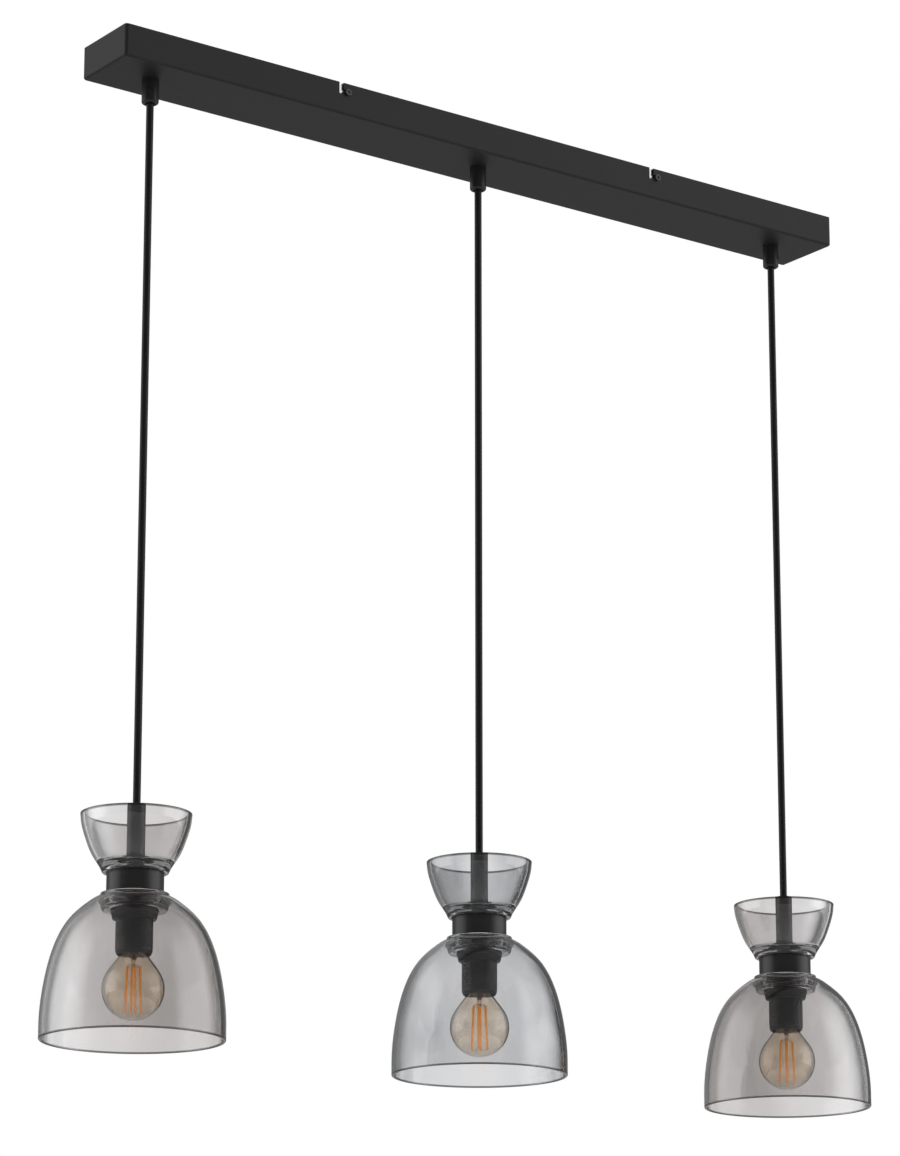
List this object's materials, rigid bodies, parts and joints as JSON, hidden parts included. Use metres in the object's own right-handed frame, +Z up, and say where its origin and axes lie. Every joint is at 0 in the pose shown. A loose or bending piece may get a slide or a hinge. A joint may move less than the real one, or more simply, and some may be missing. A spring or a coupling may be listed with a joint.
{
  "type": "linear island pendant",
  "caption": "Linear island pendant: a slim black ceiling canopy with smoke-glass bell pendants on straight black cables, each with a conical glass cup above.",
  "frame": {"origin": "centre of the ceiling bracket's top face, on the ceiling plane", "axes": "+Z up to the ceiling, X along the canopy, -Y the front that the picture shows"},
  "size_m": [0.73, 0.13, 0.736],
  "materials": {
    "black_powder_coat": "fine-textured matt powder coat",
    "black_metal": "satin black lacquer",
    "black_screw": "black zinc",
    "zinc_steel": "bright zinc plating",
    "smoke_glass": "clear blown glass, smoke grey",
    "amber_glass": "thin glass, light amber",
    "nickel": "nickel plate",
    "brass": "bare brass",
    "cable_sheath": "smooth black PVC",
    "black_plastic": "moulded nylon",
    "holder_plastic": "moulded thermoset, satin",
    "terminal_plastic": "white nylon",
    "washer_rubber": "rubber",
    "earth_core": "green and yellow insulation",
    "filament": "phosphor-coated filament"
  },
  "bodies": {
    "bracket": {"ceiling_bracket": "zinc_steel", "side_screws": "black_screw"},
    "canopy": {"canopy_shell": "black_powder_coat", "terminal_block": "terminal_plastic", "terminal_screws": "brass", "stud_nuts": "zinc_steel", "earth_lead": "earth_core", "grip_nuts": "zinc_steel", "grip_set_screws": "black_screw", "left_cord_grip": "black_plastic", "left_cable_tail": "cable_sheath", "middle_cord_grip": "black_plastic", "middle_cable_tail": "cable_sheath", "right_cord_grip": "black_plastic", "right_cable_tail": "cable_sheath"},
    "left_cable": {"left_cable": "cable_sheath"},
    "left_pendant": {"left_cable_end": "cable_sheath", "left_stem_tube": "black_metal", "left_stem_bush": "black_plastic", "left_nipple": "zinc_steel", "left_cup_washers": "washer_rubber", "left_cup_glass": "smoke_glass", "left_collar": "black_metal", "left_bell_glass": "smoke_glass", "left_lampholder": "holder_plastic", "left_lamp_contacts": "brass"},
    "left_ring": {"left_shade_ring": "holder_plastic"},
    "left_bulb": {"left_bulb_glass": "amber_glass", "left_bulb_cap": "nickel", "left_bulb_filaments": "filament"},
    "middle_cable": {"middle_cable": "cable_sheath"},
    "middle_pendant": {"middle_cable_end": "cable_sheath", "middle_stem_tube": "black_metal", "middle_stem_bush": "black_plastic", "middle_nipple": "zinc_steel", "middle_cup_washers": "washer_rubber", "middle_cup_glass": "smoke_glass", "middle_collar": "black_metal", "middle_bell_glass": "smoke_glass", "middle_lampholder": "holder_plastic", "middle_lamp_contacts": "brass"},
    "middle_ring": {"middle_shade_ring": "holder_plastic"},
    "middle_bulb": {"middle_bulb_glass": "amber_glass", "middle_bulb_cap": "nickel", "middle_bulb_filaments": "filament"},
    "right_cable": {"right_cable": "cable_sheath"},
    "right_pendant": {"right_cable_end": "cable_sheath", "right_stem_tube": "black_metal", "right_stem_bush": "black_plastic", "right_nipple": "zinc_steel", "right_cup_washers": "washer_rubber", "right_cup_glass": "smoke_glass", "right_collar": "black_metal", "right_bell_glass": "smoke_glass", "right_lampholder": "holder_plastic", "right_lamp_contacts": "brass"},
    "right_ring": {"right_shade_ring": "holder_plastic"},
    "right_bulb": {"right_bulb_glass": "amber_glass", "right_bulb_cap": "nickel", "right_bulb_filaments": "filament"}
  },
  "joints": [
    {"name": "canopy_release_slide", "type": "slide", "parent": "bracket", "child": "canopy", "axis": [1, 0, 0], "range_m": [0, 0.0055]},
    {"name": "left_cable_swing", "type": "hinge", "parent": "canopy", "child": "left_cable", "pos_m": [-0.3, 0, -0.0423], "axis": [1, 0, 0], "range_deg": [-25, 25]},
    {"name": "left_stem_tilt", "type": "hinge", "parent": "left_cable", "child": "left_pendant", "pos_m": [-0.3, 0, -0.5706], "axis": [0, 1, 0], "range_deg": [-15, 15]},
    {"name": "left_ring_unscrew", "type": "hinge", "parent": "left_pendant", "child": "left_ring", "pos_m": [-0.3, 0, -0.648], "axis": [0, 0, 1], "range_deg": [-1080, 0]},
    {"name": "left_bulb_unscrew", "type": "hinge", "parent": "left_pendant", "child": "left_bulb", "pos_m": [-0.3, 0, -0.658], "axis": [0, 0, 1], "range_deg": [-1800, 0]},
    {"name": "middle_cable_swing", "type": "hinge", "parent": "canopy", "child": "middle_cable", "pos_m": [0, 0, -0.0423], "axis": [1, 0, 0], "range_deg": [-25, 25]},
    {"name": "middle_stem_tilt", "type": "hinge", "parent": "middle_cable", "child": "middle_pendant", "pos_m": [0, 0, -0.5706], "axis": [0, 1, 0], "range_deg": [-15, 15]},
    {"name": "middle_ring_unscrew", "type": "hinge", "parent": "middle_pendant", "child": "middle_ring", "pos_m": [0, 0, -0.648], "axis": [0, 0, 1], "range_deg": [-1080, 0]},
    {"name": "middle_bulb_unscrew", "type": "hinge", "parent": "middle_pendant", "child": "middle_bulb", "pos_m": [0, 0, -0.658], "axis": [0, 0, 1], "range_deg": [-1800, 0]},
    {"name": "right_cable_swing", "type": "hinge", "parent": "canopy", "child": "right_cable", "pos_m": [0.3, 0, -0.0423], "axis": [1, 0, 0], "range_deg": [-25, 25]},
    {"name": "right_stem_tilt", "type": "hinge", "parent": "right_cable", "child": "right_pendant", "pos_m": [0.3, 0, -0.5706], "axis": [0, 1, 0], "range_deg": [-15, 15]},
    {"name": "right_ring_unscrew", "type": "hinge", "parent": "right_pendant", "child": "right_ring", "pos_m": [0.3, 0, -0.648], "axis": [0, 0, 1], "range_deg": [-1080, 0]},
    {"name": "right_bulb_unscrew", "type": "hinge", "parent": "right_pendant", "child": "right_bulb", "pos_m": [0.3, 0, -0.658], "axis": [0, 0, 1], "range_deg": [-1800, 0]}
  ]
}
